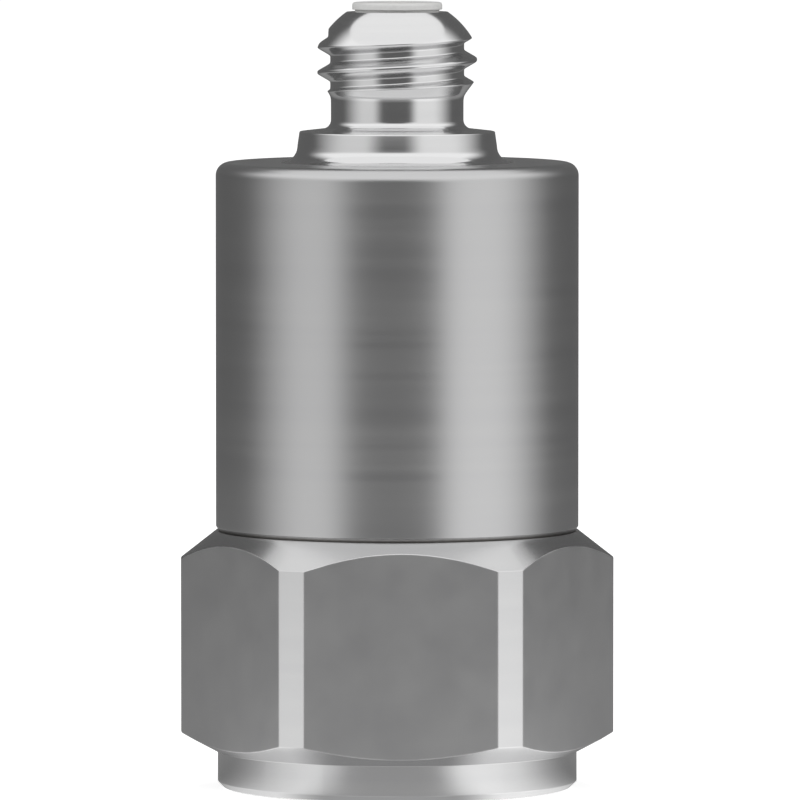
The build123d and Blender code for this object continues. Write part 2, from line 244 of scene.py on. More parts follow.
tent_flat = add_node(tent_tree, "ShaderNodeCombineXYZ", {0: tent_axes["X"], 1: tent_axes["Y"]}).outputs[0]
tent_reach = add_node(tent_tree, "ShaderNodeVectorMath", {0: tent_flat}, operation="LENGTH").outputs["Value"]
sheet_inward = ramp(tent_tree, tent_reach, sheet_near, sheet_far, sheet_lift, 0.0)
sheet_round = ramp(tent_tree, tent_turn_away, *sheet_turn, 1.0, sheet_behind, curve="SMOOTHSTEP")
tent_sheet = add_math(tent_tree, "MULTIPLY", sheet_inward, sheet_round)
# Painted shade: the sheet's glow is cut at the foot's sides and behind, as a contact shadow.
shade_round = ramp(tent_tree, tent_turn_away, *foot_shade_turn, 1.0, foot_shade)
shade_at_foot = ramp(tent_tree, tent_reach, *foot_shade_reach, shade_round, 1.0)
tent_unshaded = add_math(tent_tree, "ADD", tent_light, tent_sheet)
tent_glow = add_node(tent_tree, "ShaderNodeEmission", {
    "Color": (1, 1, 1, 1),
    "Strength": add_math(tent_tree, "MULTIPLY", tent_unshaded, shade_at_foot),
})
add_node(tent_tree, "ShaderNodeOutputMaterial", {"Surface": tent_glow.outputs[0]})
tent_mesh.materials.append(tent_cards)
tent.visible_camera = False
tent.visible_diffuse = False
tent.visible_shadow = False
tent.visible_transmission = False


# Lamps: three large soft boxes, left, right and above, that light the matt surfaces and lay a soft
# shadow round the foot. The metal sees the tent in their place.
lamp_distance = 0.6
lamp_size = 0.35
side_power = 1.0
top_power = 0.55
for lamp_name, lamp_azimuth, lamp_elevation, lamp_power in (
    ("left_box", radians(-62), radians(28), side_power),
    ("right_box", radians(62), radians(28), side_power),
    ("top_box", radians(0), radians(82), top_power),
):
    lamp_data = bpy.data.lights.new(lamp_name, "AREA")
    lamp_data.energy = lamp_power
    lamp_data.size = lamp_size
    toward_lamp = Vector((
        sin(lamp_azimuth) * cos(lamp_elevation),
        -cos(lamp_azimuth) * cos(lamp_elevation),
        sin(lamp_elevation),
    ))
    lamp = bpy.data.objects.new(lamp_name, lamp_data)
    lamp.location = toward_lamp * lamp_distance
    lamp.rotation_euler = toward_lamp.to_track_quat("Z", "Y").to_euler()
    lamp.visible_glossy = False
    bpy.context.scene.collection.objects.link(lamp)


# Base: hexagon, locating boss, spigot and three-sided post in one piece of stainless steel. The bar is
# turned, so its corners are round and its ends chamfered, then the flats are milled and the hole tapped.
across_flats = 12.0
corner_diameter = 13.37
boss_diameter = 11.1
boss_height = 1.14
boss_edge_chamfer = 0.2
hex_foot_diameter = 11.2
bottom_chamfer_angle = radians(28)
top_chamfer_angle = radians(38)
housing_diameter = 11.2
housing_wall = 0.6
spigot_height = 1.0
spigot_lead_chamfer = 0.25
post_inradius = 1.5
post_corner_diameter = 4.0
hole_minor_diameter = 4.2
hole_major_diameter = 5.0
hole_mouth_diameter = 5.2
hole_depth = 4.0
hole_thread_length = 3.5
drill_point_angle = radians(118)
hole_thread_pitch = 0.8
hole_thread_rows = 20
screw_hole_diameter = 1.6
screw_hole_depth = 2.5
broken_edge = 0.04
hex_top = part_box("housing")[0].z * 1000
post_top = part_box("base")[1].z * 1000
hex_sides = 6
post_sides = 3
front_flat = -pi / 2
post_first_flat = radians(60)
thread_flank_angle = radians(30)
hex_edge_blend = 0.006
post_edge_blend = 0.02
flat_tolerance = 0.012
least_column_gap = 1e-4
mouth_stop = 0.08
tap_fade_length = hole_thread_pitch / 2
tap_root_half = hole_thread_pitch / 16
tap_root_blend = 0.02
tap_crest_blend = 0.012
small_edge_limit = 0.15
small_edge_steps = 4
large_edge_steps = 12
arc_share_of_run = 0.4
guard_share = 0.25
guard_limit = 0.05
merge_distance = 1e-7


def smaller(first, second, blend):
    """The smaller of two values with a soft corner: minus blend times the logarithm of the sum of
    exp(-value / blend)."""
    return -blend * np.logaddexp(-first / blend, -second / blend)


def larger(first, second, blend):
    """The larger of two values with a soft corner, as the negated smaller of the negated values."""
    return -smaller(-first, -second, blend)


def outline(corners, columns):
    """Walks corners given as (distance from the axis, height, edge radius) and rounds each by a circular arc
    from one run to the next: a weighted mean of the arc's two ends and the corner, with the weight of the
    corner equal to the cosine of half the turn. A guard row just past each end of the arc keeps the runs
    flat in the shading. A radius of 0 leaves the point as it is, and a small one gets the edge mark 1.
    Distances and heights may differ from column to column. Returns radii, heights and marks, row by row."""
    run = [np.stack(np.broadcast_arrays(r, z, np.zeros(columns))[:2]) for r, z, _ in corners]
    radii, heights, marks = [], [], []

    def put(point, mark):
        radii.append(point[0])
        heights.append(point[1])
        marks.append(np.full(columns, mark))

    for index, (_, _, edge) in enumerate(corners):
        here = run[index]
        if edge == 0 or index in (0, len(corners) - 1):
            put(here, 0.0)
            continue
        back = run[index - 1] - here
        ahead = run[index + 1] - here
        back_length = np.hypot(back[0], back[1])
        ahead_length = np.hypot(ahead[0], ahead[1])
        back = back / back_length
        ahead = ahead / ahead_length
        half_turn = (pi - np.arccos(np.clip((back * ahead).sum(0), -1, 1))) / 2
        longest_reach = arc_share_of_run * np.minimum(back_length, ahead_length)
        reach = np.minimum(edge * np.tan(half_turn), longest_reach)
        guard = guard_share * np.minimum(reach, guard_limit)
        is_small = edge < small_edge_limit
        steps = small_edge_steps if is_small else large_edge_steps
        weight = np.cos(half_turn)
        put(here + back * (reach + guard), 0.0)
        for share in np.linspace(0, 1, steps + 1):
            first = (1 - share) ** 2
            middle = 2 * share * (1 - share) * weight
            last = share ** 2
            point = here + (first * back + last * ahead) * reach / (first + middle + last)
            put(point, float(is_small))
        put(here + ahead * (reach + guard), 0.0)
    return np.array(radii), np.array(heights), np.array(marks)


def climbing_heights(angles, start, pitch, low, high, rows_per_turn):
    """Heights of lines that climb one pitch a turn, like the thread, and stop level at low and high:
    start plus pitch times (line number plus the share of a turn), held between low and high."""
    first = int(np.floor((low - start) / pitch * rows_per_turn)) - rows_per_turn
    last = int(np.ceil((high - start) / pitch * rows_per_turn))
    line = np.arange(first, last + 1)[:, None] / rows_per_turn
    return np.clip(start + pitch * (line + angles[None, :] / (2 * pi)), low, high)


def groove_distance(heights, angles, start, pitch):
    """Distance along the axis to the nearest middle of a right-hand groove that passes start at angle 0,
    and how many turns from there that middle has climbed."""
    turns = (heights - start) / pitch - angles[None, :] / (2 * pi)
    return np.abs(turns - np.round(turns)) * pitch, np.round(turns) + angles[None, :] / (2 * pi)


def revolved_mesh(name, radii, heights, angles, marks):
    """A closed skin from a grid of distances and heights, in millimetres: x is the distance times the
    cosine of the angle, y the distance times its sine. The last column lies on the first, a turn later,
    and coinciding points are merged, so a row on the axis becomes a pole. Marks become attributes."""
    points = np.stack([radii * np.cos(angles), radii * np.sin(angles), heights], axis=2) / 1000
    rows, columns = radii.shape
    corner = (np.arange(rows - 1)[:, None] * columns + np.arange(columns - 1)[None, :]).ravel()
    quads = np.stack([corner, corner + 1, corner + columns + 1, corner + columns], axis=1)
    mesh = bpy.data.meshes.new(name)
    mesh.from_pydata(points.reshape(-1, 3), [], quads)
    for key, value in marks.items():
        layer = mesh.attributes.new(key, "FLOAT", "POINT")
        layer.data.foreach_set("value", value.astype(np.float32).ravel())
    skin = bmesh.new()
    skin.from_mesh(mesh)
    bmesh.ops.remove_doubles(skin, verts=skin.verts, dist=merge_distance)
    bmesh.ops.dissolve_degenerate(skin, edges=skin.edges, dist=merge_distance)
    bmesh.ops.recalc_face_normals(skin, faces=skin.faces)
    skin.to_mesh(mesh)
    skin.free()
    mesh.polygons.foreach_set("use_smooth", np.ones(len(mesh.polygons), bool))
    return mesh


def prism_radius(angles, inradius, corner_radius, sides, first_flat, blend):
    """Distance from the axis to a prism with round corners: inradius over the cosine of the angle to the
    nearest flat's middle, or the corner radius where that is less, with a small soft edge between."""
    sector = 2 * pi / sides
    offset = (angles - first_flat + sector / 2) % sector - sector / 2
    return smaller(inradius / np.cos(offset), np.full_like(angles, corner_radius), blend), offset


flat_edge = acos(across_flats / corner_diameter)
post_edge = acos(2 * post_inradius / post_corner_diameter)
near_edge = np.radians([-1.2, -0.5, -0.25, -0.1, 0, 0.1, 0.25, 0.5, 1.2])
hex_sector = 2 * pi / hex_sides
plain_columns = np.radians([-20, -16, -12, -8, -4, 0, 4, 8, 12, 16, 20, 28.4])
sector_columns = np.concatenate([
    plain_columns,
    flat_edge + near_edge,
    -flat_edge + near_edge,
    [hex_sector / 2],
])
hex_columns = np.concatenate([
    (front_flat + side * hex_sector + sector_columns) % (2 * pi) for side in range(hex_sides)
])
post_columns = np.concatenate([
    (post_first_flat + side * 2 * pi / post_sides + sign * post_edge + near_edge) % (2 * pi)
    for side in range(post_sides)
    for sign in (-1, 1)
])
base_angles = np.unique(np.round(np.concatenate([hex_columns, post_columns]), 9))
base_angles = base_angles[np.append(True, np.diff(base_angles) > least_column_gap)]
base_angles = np.append(base_angles, base_angles[0] + 2 * pi)
hex_radius, hex_offset = prism_radius(
    base_angles, across_flats / 2, corner_diameter / 2, hex_sides, front_flat, hex_edge_blend)
post_radius = prism_radius(
    base_angles, post_inradius, post_corner_diameter / 2, post_sides, post_first_flat, post_edge_blend)[0]
foot_radius = hex_foot_diameter / 2
can_radius = housing_diameter / 2
spigot_radius = can_radius - housing_wall
spigot_top = hex_top + spigot_height
hole_radius = hole_minor_diameter / 2
mouth_radius = hole_mouth_diameter / 2
mouth_depth = mouth_radius - hole_radius
boss_radius = boss_diameter / 2
base_columns = len(base_angles)
drill_part = outline([
    (0, hole_depth + hole_radius / tan(drill_point_angle / 2), 0),
    (hole_radius, hole_depth, broken_edge),
    (hole_radius, hole_thread_length, 0),
], base_columns)
outer_part = outline([
    (hole_radius, mouth_depth, 0),
    (mouth_radius, 0, broken_edge),
    (boss_radius - boss_edge_chamfer, 0, broken_edge),
    (boss_radius, boss_edge_chamfer, broken_edge),
    (boss_radius, boss_height, broken_edge),
    (foot_radius, boss_height, broken_edge / 2),
    (hex_radius, boss_height + (hex_radius - foot_radius) * tan(bottom_chamfer_angle), broken_edge),
    (hex_radius, hex_top - (hex_radius - can_radius) * tan(top_chamfer_angle), broken_edge),
    (can_radius, hex_top, broken_edge / 2),
    (spigot_radius, hex_top, broken_edge),
    (spigot_radius, spigot_top - spigot_lead_chamfer, broken_edge),
    (spigot_radius - spigot_lead_chamfer, spigot_top, broken_edge),
    (post_radius, spigot_top, broken_edge),
    (post_radius, post_top, broken_edge),
    (screw_hole_diameter / 2, post_top, broken_edge),
    (screw_hole_diameter / 2, post_top - screw_hole_depth, broken_edge),
    (0, post_top - screw_hole_depth, 0),
], base_columns)
tap_heights = climbing_heights(
    base_angles, 0.0, hole_thread_pitch, mouth_stop, hole_thread_length, hole_thread_rows)[::-1]
tap_distance = groove_distance(tap_heights, base_angles, 0.0, hole_thread_pitch)[0]
tap_fade = np.clip((hole_thread_length - tap_heights) / tap_fade_length, 0, 1)
tap_groove = hole_major_diameter / 2 - (tap_distance - tap_root_half) / tan(thread_flank_angle)
tap_groove = smaller(tap_groove, np.full_like(tap_groove, hole_major_diameter / 2), tap_root_blend)
tap_groove = hole_radius + (tap_groove - hole_radius) * tap_fade
tap_wall = np.maximum(hole_radius, mouth_radius - tap_heights)
tap_radii = larger(tap_wall, tap_groove, tap_crest_blend)
first_outer = int(np.argmax(outer_part[1][:, 0] < mouth_stop))
base_radii = np.concatenate([drill_part[0], tap_radii, outer_part[0][first_outer:]])
base_heights = np.concatenate([drill_part[1], tap_heights, outer_part[1][first_outer:]])
base_edges = np.concatenate([drill_part[2], np.zeros_like(tap_radii), outer_part[2][first_outer:]])
on_flat = np.abs(base_radii * np.cos(hex_offset) - across_flats / 2) < flat_tolerance
base_mesh = revolved_mesh("hexagonal_base", base_radii, base_heights, base_angles, {
    "edge": base_edges,
    "milled": on_flat.astype(float),
})
hexagonal_base = bpy.data.objects.new("hexagonal_base", base_mesh)
bpy.context.scene.collection.objects.link(hexagonal_base)


def new_group(name, inputs, outputs):
    """An empty shader node group with float inputs, given as name and default, and float outputs."""
    group = bpy.data.node_groups.new(name, "ShaderNodeTree")
    for label, value in inputs.items():
        group.interface.new_socket(label, in_out="INPUT", socket_type="NodeSocketFloat").default_value = value
    for label in outputs:
        group.interface.new_socket(label, in_out="OUTPUT", socket_type="NodeSocketFloat")
    return group, group.nodes.new("NodeGroupInput"), group.nodes.new("NodeGroupOutput")


ring_band_share = 0.17
ring_drift = 2.5
ring_rough_spread = (0.93, 1.08)
milled_lines = 14.0
milled_length = 0.35
milled_patch_scale = 900.0
milled_rough_spread = (0.95, 1.06)
edge_break_scale = 900.0
edge_break_noise = (0.35, 0.6)
wide_noise = (0.2, 0.8)
middle_noise = (0.25, 0.75)
narrow_noise = (0.3, 0.7)
turned_marks, marks_in, marks_out = new_group(
    "turned_marks", {"Lines": 12.0, "Drift": 2.0}, ["Height", "Bands"])
marks_place = add_node(turned_marks, "ShaderNodeTexCoord").outputs["Object"]
marks_axes = add_node(turned_marks, "ShaderNodeSeparateXYZ", {0: marks_place}).outputs
marks_flat = add_node(turned_marks, "ShaderNodeCombineXYZ", {
    0: marks_axes["X"],
    1: marks_axes["Y"],
}).outputs[0]
marks_radius = add_node(
    turned_marks, "ShaderNodeVectorMath", {0: marks_flat}, operation="LENGTH").outputs["Value"]
marks_round = add_node(
    turned_marks, "ShaderNodeVectorMath", {0: marks_flat}, operation="NORMALIZE").outputs[0]
marks_drift = add_node(turned_marks, "ShaderNodeVectorMath", {
    0: marks_round,
    "Scale": marks_in.outputs["Drift"],
}, operation="SCALE").outputs[0]
marks_turn = add_node(turned_marks, "ShaderNodeSeparateXYZ", {0: marks_drift}).outputs
marks_scale = add_math(turned_marks, "MULTIPLY", marks_in.outputs["Lines"], 1000.0)
marks_vector = add_node(turned_marks, "ShaderNodeCombineXYZ", {
    0: add_math(turned_marks, "MULTIPLY", marks_radius, marks_scale),
    1: add_math(turned_marks, "MULTIPLY", marks_axes["Z"], marks_scale),
    2: marks_turn["X"],
}).outputs[0]
marks_fine = add_node(turned_marks, "ShaderNodeTexNoise", {
    "Vector": marks_vector,
    "W": marks_turn["Y"],
    "Scale": 1.0,
    "Detail": 2.0,
    "Roughness": 0.65,
}, noise_dimensions="4D")
marks_wide = add_node(turned_marks, "ShaderNodeTexNoise", {
    "Vector": marks_vector,
    "W": marks_turn["Y"],
    "Scale": ring_band_share,
    "Detail": 1.0,
}, noise_dimensions="4D")
turned_marks.links.new(marks_fine.outputs["Fac"], marks_out.inputs["Height"])
turned_marks.links.new(marks_wide.outputs["Fac"], marks_out.inputs["Bands"])

milled_marks, milled_in, milled_out = new_group(
    "milled_marks", {"Lines": 14.0, "Length": 0.35}, ["Height", "Patches"])
milled_place = add_node(milled_marks, "ShaderNodeTexCoord").outputs["Object"]
milled_axes = add_node(milled_marks, "ShaderNodeSeparateXYZ", {0: milled_place}).outputs
milled_across = add_math(milled_marks, "MULTIPLY", milled_in.outputs["Lines"], 1000.0)
milled_along = add_math(milled_marks, "DIVIDE", 1000.0, milled_in.outputs["Length"])
milled_vector = add_node(milled_marks, "ShaderNodeCombineXYZ", {
    0: add_math(milled_marks, "MULTIPLY", milled_axes["X"], milled_along),
    1: add_math(milled_marks, "MULTIPLY", milled_axes["Y"], milled_along),
    2: add_math(milled_marks, "MULTIPLY", milled_axes["Z"], milled_across),
}).outputs[0]
milled_fine = add_node(milled_marks, "ShaderNodeTexNoise", {
    "Vector": milled_vector,
    "Scale": 1.0,
    "Detail": 3.0,
    "Roughness": 0.7,
})
milled_wide = add_node(milled_marks, "ShaderNodeTexNoise", {
    "Vector": milled_place,
    "Scale": milled_patch_scale,
    "Detail": 3.0,
})
milled_marks.links.new(milled_fine.outputs["Fac"], milled_out.inputs["Height"])
milled_marks.links.new(milled_wide.outputs["Fac"], milled_out.inputs["Patches"])

edge_polish, polish_in, polish_out = new_group("edge_polish", {"Breaks": 900.0}, ["Mask"])
polish_place = add_node(edge_polish, "ShaderNodeTexCoord").outputs["Object"]
polish_edge = add_node(edge_polish, "ShaderNodeAttribute", attribute_name="edge").outputs["Fac"]
polish_noise = add_node(edge_polish, "ShaderNodeTexNoise", {
    "Vector": polish_place,
    "Scale": polish_in.outputs["Breaks"],
    "Detail": 2.0,
}).outputs["Fac"]
polish_breaks = ramp(edge_polish, polish_noise, *edge_break_noise)
polish_mask = add_math(edge_polish, "MULTIPLY", polish_edge, polish_breaks)
edge_polish.links.new(polish_mask, polish_out.inputs["Mask"])


def put_group(tree, group, **values):
    """Places a node group in a material, sets its inputs and returns its outputs."""
    return add_node(tree, "ShaderNodeGroup", values, node_tree=group).outputs


def mix_numbers(tree, share, first, second):
    """Goes from one number to another as the share goes from nought to one."""
    return add_node(tree, "ShaderNodeMix", {0: share, 2: first, 3: second}).outputs[0]


def mix_colors(tree, share, first, second):
    """Goes from one colour to another as the share goes from nought to one."""
    return add_node(tree, "ShaderNodeMix", {0: share, 6: first, 7: second}, data_type="RGBA").outputs[2]


def new_material(name):
    """An empty material with nodes, and its tree."""
    material = bpy.data.materials.new(name)
    material.use_nodes = True
    material.node_tree.nodes.clear()
    return material, material.node_tree


def turned_metal(name, dark, light, roughness, lines, depth, worn=(0.72, 0.72, 0.72), flats=None, tint=None):
    """Bare metal as the lathe leaves it: rings in its height and tone, brighter broken edges, on a part with
    milled flats their straight cutter marks, colour and roughness, and where a weld is marked a darker tint."""
    material, tree = new_material(name)
    rings = put_group(tree, turned_marks, Lines=lines, Drift=ring_drift)
    polish = put_group(tree, edge_polish, Breaks=edge_break_scale)["Mask"]
    tone = ramp(tree, rings["Bands"], *wide_noise)
    height = rings["Height"]
    ring_rough = [roughness * share for share in ring_rough_spread]
    rough = ramp(tree, rings["Bands"], *middle_noise, *ring_rough)
    if flats:
        cut = put_group(tree, milled_marks, Lines=milled_lines, Length=milled_length)
        where = add_node(tree, "ShaderNodeAttribute", attribute_name="milled").outputs["Fac"]
        height = mix_numbers(tree, where, height, cut["Height"])
        milled_rough = [flats["roughness"] * share for share in milled_rough_spread]
        flat_rough = ramp(tree, cut["Patches"], *narrow_noise, *milled_rough)
        rough = mix_numbers(tree, where, rough, flat_rough)
    color = mix_colors(tree, tone, (*dark, 1), (*light, 1))
    if flats:
        shade = ramp(tree, cut["Patches"], *middle_noise)
        milled_color = mix_colors(tree, shade, (*flats["dark"], 1), (*flats["light"], 1))
        color = mix_colors(tree, where, color, milled_color)
    color = mix_colors(tree, polish, color, (*worn, 1))
    if tint:
        weld = add_node(tree, "ShaderNodeAttribute", attribute_name="weld").outputs["Fac"]
        color = mix_colors(tree, weld, color, (*tint, 1))
    bump = add_node(tree, "ShaderNodeBump", {"Strength": 1.0, "Distance": depth, "Height": height})
    metal = add_node(tree, "ShaderNodeBsdfPrincipled", {
        "Base Color": color,
        "Metallic": 1.0,
        "Roughness": rough,
        "Normal": bump.outputs[0],
    })
    add_node(tree, "ShaderNodeOutputMaterial", {"Surface": metal.outputs[0]})
    return material


milled_finish = {"roughness": 0.36, "dark": (0.565, 0.565, 0.57), "light": (0.6, 0.6, 0.6)}
base_mesh.materials.append(turned_metal(
    "base_steel", (0.63, 0.63, 0.635), (0.67, 0.67, 0.67),
    roughness=0.2, lines=14.0, depth=3e-7, flats=milled_finish))
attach(hexagonal_base, "root")
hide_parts("base")


# Can: thin stainless cup drawn from sheet, turned to size and ground satin. A laser weld joins its foot to
# the base, in a fine groove that keeps the ripple of the overlapping pulses.
housing_top_thickness = 0.8
housing_edge_radius = 0.4
seam_groove_height = 0.14
seam_groove_depth = 0.1
shell_spigot_diameter = 4.0
weld_pulses = 110
weld_ripple = 0.006
columns_per_pulse = 4
seam_root_lean = 0.03
seam_root_height = 0.04
seam_margin = 0.01
can_foot_edge = 0.015
cup_corner_radius = 0.15
can_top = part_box("housing")[1].z * 1000
can_inner_top = can_top - housing_top_thickness
can_angles = np.linspace(0, 2 * pi, columns_per_pulse * weld_pulses + 1)
can_ripple = weld_ripple * np.abs(np.sin(can_angles * weld_pulses / 2))
groove_radius = can_radius - seam_groove_depth
connector_hole_radius = shell_spigot_diameter / 2
can_radii, can_heights, can_edges = outline([
    (spigot_radius, (hex_top + can_inner_top) / 2, 0),
    (spigot_radius, hex_top, broken_edge / 2),
    (groove_radius - can_ripple, hex_top, broken_edge / 2),
    (groove_radius + seam_root_lean - can_ripple, hex_top + seam_root_height, broken_edge / 2),
    (can_radius, hex_top + seam_groove_height, can_foot_edge),
    (can_radius, can_top, housing_edge_radius),
    (connector_hole_radius, can_top, broken_edge / 2),
    (connector_hole_radius, can_inner_top, broken_edge),
    (spigot_radius, can_inner_top, cup_corner_radius),
    (spigot_radius, (hex_top + can_inner_top) / 2, 0),
], len(can_angles))
below_seam_top = can_heights < hex_top + seam_groove_height - seam_margin
in_seam = below_seam_top & (can_radii > spigot_radius + seam_margin)
can_mesh = revolved_mesh("welded_can", can_radii, can_heights, can_angles, {
    "edge": can_edges,
    "weld": in_seam.astype(float),
})
welded_can = bpy.data.objects.new("welded_can", can_mesh)
bpy.context.scene.collection.objects.link(welded_can)
can_mesh.materials.append(turned_metal(
    "can_steel", (0.57, 0.57, 0.575), (0.595, 0.595, 0.595),
    roughness=0.3, lines=16.0, depth=1.3e-7, tint=(0.27, 0.26, 0.25)))
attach(welded_can, "root")
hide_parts("housing")


# Connector shell: one bright turned stainless piece with a collar, a waisted neck, a single-point-cut
# right-hand thread and a crowned nose. Its spigot is welded into the top of the can.
collar_top_diameter = 6.03
collar_foot_diameter = 6.16
collar_height = 0.95
collar_crown = 0.11
collar_fillet = 0.5
neck_diameter = 4.09
neck_height = 1.09
neck_fillet = 0.34
thread_diameter = 4.93
thread_length = 1.51
thread_pitch = 0.8
thread_depth = 0.4
thread_crest_share = 0.125
thread_crest_blend = 0.02
thread_root_blend = 0.025
thread_start_chamfer = 0.55
thread_first_crest = 0.33
thread_turns = 2.75
thread_runout = 0.3
thread_run_in = 0.1
tool_lift = 1.5
thread_rows = 40
climb_lead = 0.35
groove_top_margin = 0.06
lead_in_blend = 0.04
shoulder_blend = 0.02
crown_blend = 0.015
land_edge_height = 0.02
land_edge_radius = 0.012
arc_rows = 14
wall_step = 0.03
shell_columns = 256
nose_height = 1.09
nose_land = 0.14
nose_crown_radius = 2.7
insulator_bore_diameter = 2.84
insulator_bore_depth = 2.77
shell_bore_diameter = 2.2
shell_spigot_length = 1.1
shell_angles = np.linspace(0, 2 * pi, shell_columns + 1)
collar_top = can_top + collar_height
thread_start = collar_top + neck_height
nose_start = thread_start + thread_length
nose_end = nose_start + nose_height
insulator_seat = nose_end - insulator_bore_depth
collar_foot_radius = collar_foot_diameter / 2
neck_radius = neck_diameter / 2
thread_radius = thread_diameter / 2
thread_root = thread_radius - thread_depth
bore_radius = insulator_bore_diameter / 2
land_radius = bore_radius + nose_land
groove_start = thread_start + thread_first_crest - thread_pitch / 2
groove_top = groove_start + thread_turns * thread_pitch + groove_top_margin
climb_start = thread_start - climb_lead
land_start = nose_end - land_edge_height
chord = np.array([land_radius - thread_radius, nose_end - nose_start])
chord_length = float(np.hypot(*chord))
chord_normal = np.array([-chord[1], chord[0]]) / chord_length
crown_centre = (
    np.array([thread_radius, nose_start]) + chord / 2
    + chord_normal * sqrt(nose_crown_radius ** 2 - (chord_length / 2) ** 2)
)


def smooth_step(values, start, end):
    """Goes from 0 at start to 1 at end as 3 s squared minus 2 s cubed, where s is the share of the way."""
    share = np.clip((values - start) / (end - start), 0, 1)
    return share * share * (3 - 2 * share)


def turned_side(heights):
    """Distance of the shell's turned outside from the axis between neck and land, before the thread is
    cut: the neck or the lead-in cone, whichever is larger, held to the thread's cylinder and to the
    crown, a circle about crown_centre."""
    cone_slope = (thread_radius - neck_radius) / thread_start_chamfer
    cone = neck_radius + (heights - thread_start) * cone_slope
    neck_and_cone = larger(cone, np.full_like(cone, neck_radius), lead_in_blend)
    straight = smaller(neck_and_cone, thread_radius, shoulder_blend)
    crown = crown_centre[0] + np.sqrt(nose_crown_radius ** 2 - (heights - crown_centre[1]) ** 2)
    return smaller(straight, crown, crown_blend)


def threaded_side(heights, angles):
    """The turned outside, cut by a V groove whose middle climbs one pitch a turn: the groove's wall stands at
    the root distance plus the distance from the root's flat over the tangent of the flank angle. The wall
    moves outwards before the first turn and over the last part of the last, where the tool lifts."""
    away, turns = groove_distance(heights, angles, groove_start, thread_pitch)
    root_half = thread_pitch * (1 - thread_crest_share) / 2 - thread_depth * tan(thread_flank_angle)
    tool_in = smooth_step(turns, -thread_run_in, thread_run_in)
    tool_out = smooth_step(turns, thread_turns - thread_runout, thread_turns)
    cutting = tool_in * (1 - tool_out)
    flank = thread_root + (away - root_half) / tan(thread_flank_angle)
    groove = larger(flank, np.full_like(flank, thread_root), thread_root_blend)
    wall = groove + (1 - cutting) * tool_lift * thread_depth
    return smaller(turned_side(heights), wall, thread_crest_blend)


climbing = climbing_heights(shell_angles, groove_start, thread_pitch, climb_start, groove_top, thread_rows)
crown_heights = np.linspace(groove_top, land_start, arc_rows)[1:, None] * np.ones(len(shell_angles))
cut_heights = np.concatenate([climbing, crown_heights])
cut_radii = threaded_side(cut_heights, shell_angles)
collar_lean = (collar_foot_diameter - collar_top_diameter) / 2 / (collar_height - collar_fillet)
foot_arc = [
    (collar_foot_radius + collar_fillet * (1 - sin(turn)), can_top + collar_fillet * (1 - cos(turn)), 0)
    for turn in np.linspace(0, pi / 2 - collar_lean, arc_rows)
]
lower_shell = outline([
    (bore_radius, insulator_seat, 0),
    (shell_bore_diameter / 2, insulator_seat, broken_edge / 2),
    (shell_bore_diameter / 2, can_top - shell_spigot_length, broken_edge),
    (connector_hole_radius, can_top - shell_spigot_length, broken_edge),
    (connector_hole_radius, can_top, broken_edge / 2),
    *foot_arc,
    (collar_foot_radius - collar_lean * wall_step, can_top + collar_fillet + wall_step, 0),
    (collar_top_diameter / 2, collar_top, broken_edge),
    (neck_radius, collar_top + collar_crown, neck_fillet),
    (cut_radii[0], climb_start, 0),
], len(shell_angles))
upper_shell = outline([
    (cut_radii[-1], land_start, 0),
    (land_radius, nose_end, land_edge_radius),
    (bore_radius, nose_end, broken_edge / 2),
    (bore_radius, insulator_seat, 0),
], len(shell_angles))
shell_radii = np.concatenate([lower_shell[0], cut_radii, upper_shell[0][1:]])
shell_heights = np.concatenate([lower_shell[1], cut_heights, upper_shell[1][1:]])
shell_edges = np.concatenate([lower_shell[2], np.zeros_like(cut_radii), upper_shell[2][1:]])
shell_mesh = revolved_mesh(
    "threaded_connector", shell_radii, shell_heights, shell_angles, {"edge": shell_edges})
threaded_connector = bpy.data.objects.new("threaded_connector", shell_mesh)
bpy.context.scene.collection.objects.link(threaded_connector)
shell_mesh.materials.append(turned_metal(
    "connector_steel", (0.74, 0.74, 0.745), (0.78, 0.78, 0.78),
    roughness=0.15, lines=20.0, depth=2e-7, worn=(0.82, 0.82, 0.82)))
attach(threaded_connector, "root")
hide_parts("connector_shell")


# Connector insulator: white fluoropolymer sleeve, turned and pushed into the bore of the shell. Its soft,
# slightly waxy end stands a little proud of the nose and is turned down there, so a fine gap shows.
insulator_proud = 0.3
insulator_edge_radius = 0.12
insulator_relief = 0.03
insulator_neck = 0.12
insulator_neck_depth = 0.15
insulator_neck_rise = 0.07
contact_diameter = 1.0
sleeve_edge = 0.02
sleeve_neck_edge = 0.01
sleeve_bore_edge = 0.03
sleeve_columns = 160
sleeve_angles = np.linspace(0, 2 * pi, sleeve_columns + 1)
sleeve_top = nose_end + insulator_proud
sleeve_middle = (insulator_seat + sleeve_top) / 2
sleeve_radii, sleeve_heights, sleeve_edges = outline([
    (contact_diameter / 2, sleeve_middle, 0),
    (contact_diameter / 2, insulator_seat, sleeve_edge),
    (bore_radius, insulator_seat, sleeve_edge),
    (bore_radius, nose_end - insulator_neck_depth, sleeve_neck_edge),
    (bore_radius - insulator_neck, nose_end - insulator_neck_depth, sleeve_neck_edge),
    (bore_radius - insulator_neck, nose_end + insulator_neck_rise, sleeve_edge),
    (bore_radius - insulator_relief, nose_end + insulator_neck_rise, sleeve_edge),
    (bore_radius - insulator_relief, sleeve_top, insulator_edge_radius),
    (contact_diameter / 2, sleeve_top, sleeve_bore_edge),
    (contact_diameter / 2, sleeve_middle, 0),
], len(sleeve_angles))
sleeve_mesh = revolved_mesh(
    "insulator_sleeve", sleeve_radii, sleeve_heights, sleeve_angles, {"edge": sleeve_edges})
insulator_sleeve = bpy.data.objects.new("insulator_sleeve", sleeve_mesh)
bpy.context.scene.collection.objects.link(insulator_sleeve)


grain_rough_spread = (0.9, 1.1)


